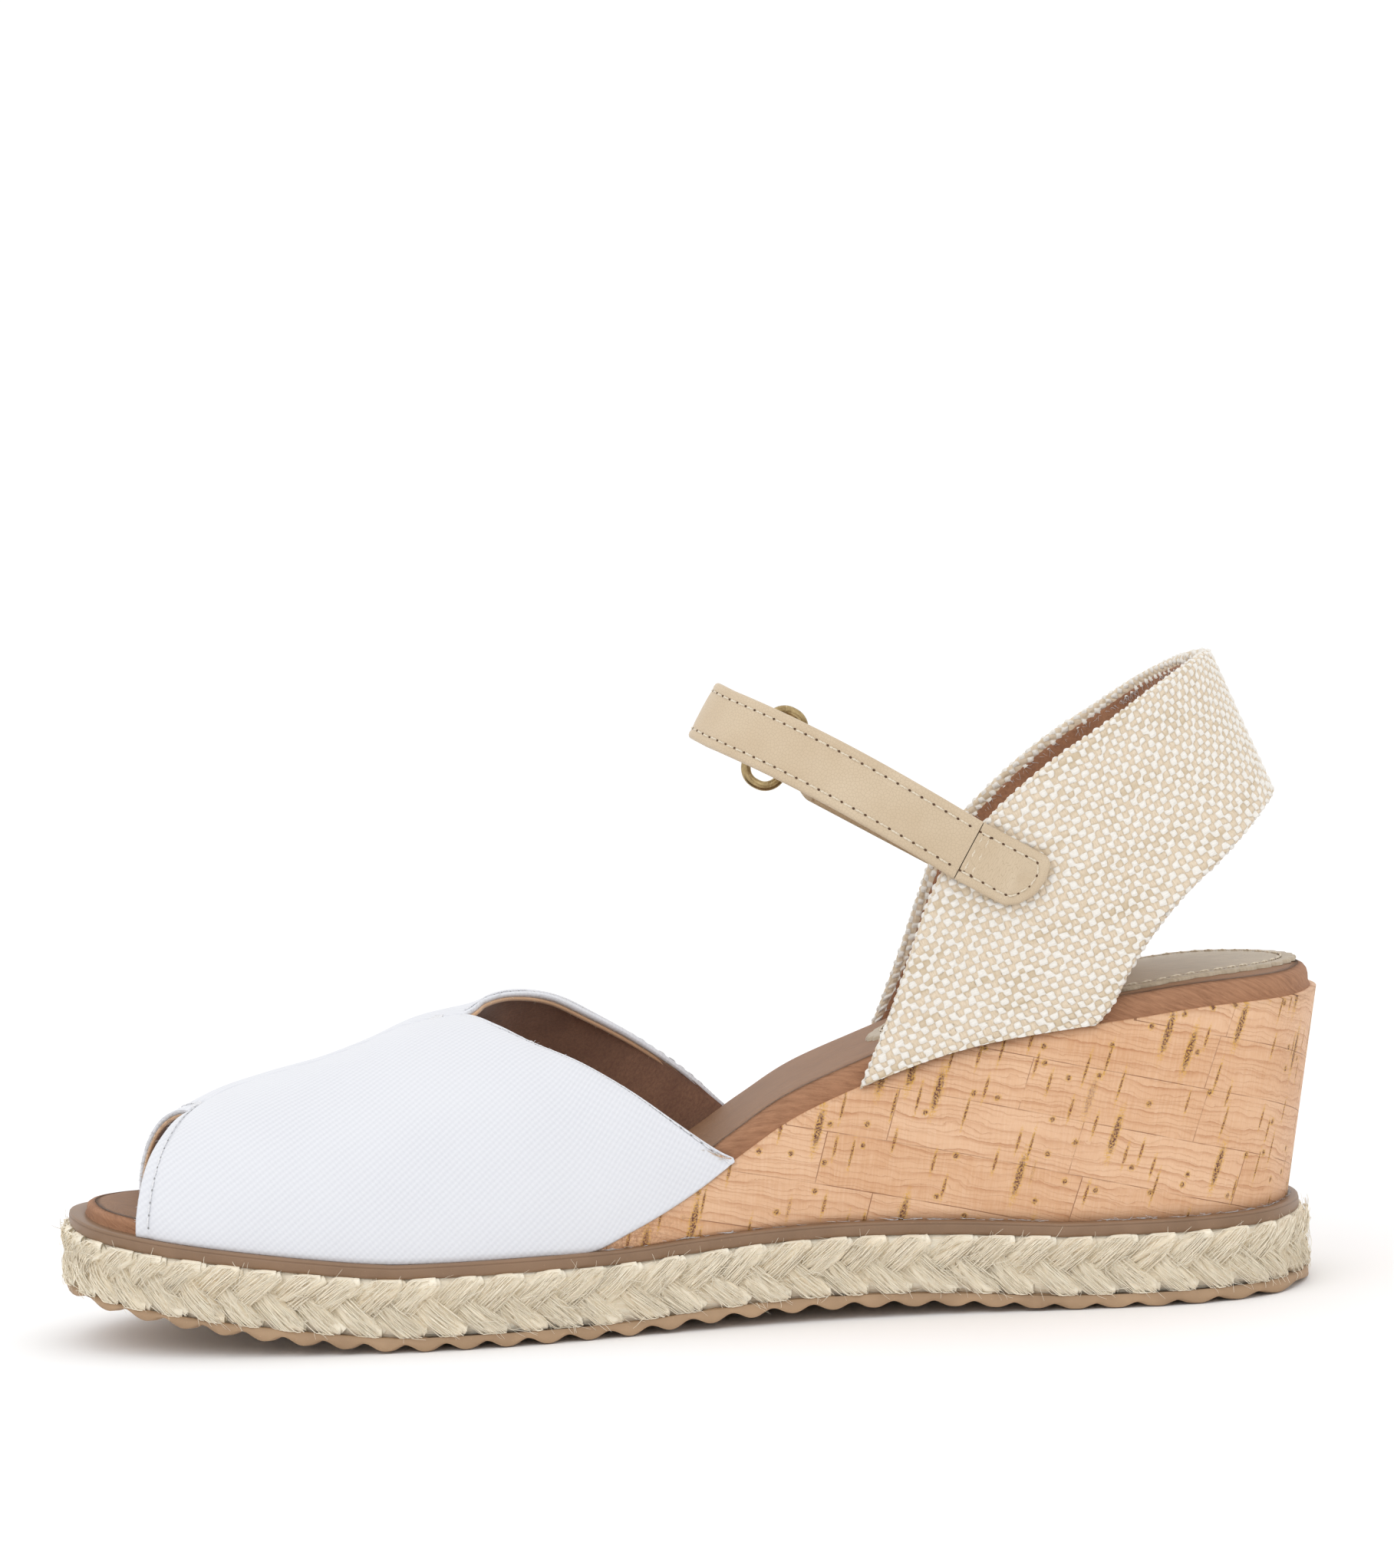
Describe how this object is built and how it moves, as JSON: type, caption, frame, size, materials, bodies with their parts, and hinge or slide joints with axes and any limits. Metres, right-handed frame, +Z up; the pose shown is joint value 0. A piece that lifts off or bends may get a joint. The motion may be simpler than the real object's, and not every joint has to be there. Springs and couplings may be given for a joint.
{
  "type": "wedge sandal",
  "caption": "Right espadrille wedge sandal with a twill peep-toe vamp, a woven back strap and an ankle strap that closes through an oval ring.",
  "frame": {"origin": "centre of the sandal's bounding box in plan, on the plane that the flat tread rests on", "axes": "+Z up, toe towards -X, heel towards +X, medial side of the right foot towards -Y"},
  "size_m": [0.2542, 0.0862, 0.1263],
  "materials": {
    "outsole_rubber": "matte",
    "midsole_foam": "matte",
    "jute": "rough fibre",
    "welt_rubber": "satin",
    "cork": "satin veneer",
    "shank_steel": "bright",
    "fibre_board": "matte",
    "padding_foam": "open foam",
    "footbed_leather": "grained satin",
    "pad_leather": "metallic satin",
    "white_twill": "twill weave",
    "vamp_suede": "suede",
    "white_thread": "twisted thread",
    "linen": "basket weave",
    "strap_suede": "suede",
    "fastener_tape": "hook and loop",
    "strap_leather": "smooth satin",
    "strap_backing": "matte",
    "tan_thread": "twisted thread",
    "antique_brass": "antique"
  },
  "bodies": {
    "sandal": {"outsole": "outsole_rubber", "midsole": "midsole_foam", "jute_braid": "jute", "welt": "welt_rubber", "wedge_core": "midsole_foam", "cork_wrap": "cork", "shank": "shank_steel", "insole_board": "fibre_board", "footbed_foam": "padding_foam", "footbed_cover": "footbed_leather", "heel_pad": "pad_leather", "heel_pad_stitching": "tan_thread", "vamp_medial": "white_twill", "vamp_lateral": "white_twill", "vamp_lining_medial": "vamp_suede", "vamp_lining_lateral": "vamp_suede", "vamp_stitching": "white_thread", "peep_bartack": "white_thread", "throat_bartack": "white_thread", "back_strap": "linen", "back_strap_foam": "padding_foam", "back_strap_lining": "strap_suede", "loop_patch": "fastener_tape", "strap_anchor": "strap_leather", "anchor_stitching": "tan_thread"},
    "strap": {"ankle_strap": "strap_leather", "ankle_strap_lining": "strap_backing", "ankle_strap_stitching": "tan_thread"},
    "ring": {"ring": "antique_brass"},
    "tab": {"tab": "strap_leather", "tab_lining": "strap_backing", "tab_stitching": "tan_thread", "hook_patch": "fastener_tape"}
  },
  "joints": [
    {"name": "strap_swing", "type": "hinge", "parent": "sandal", "child": "strap", "pos_m": [0.05854, -0.03025, 0.09167], "axis": [0.5135, 0.0785, 0.8545], "range_deg": [0, 75]},
    {"name": "ring_swing", "type": "hinge", "parent": "strap", "child": "ring", "pos_m": [0.01783, 0.01616, 0.11187], "axis": [0.5135, 0.0785, 0.8545], "range_deg": [0, 50]},
    {"name": "tab_peel", "type": "hinge", "parent": "ring", "child": "tab", "pos_m": [0.02424, 0.01804, 0.10785], "axis": [0.5135, 0.0785, 0.8545], "range_deg": [0, 110]}
  ]
}
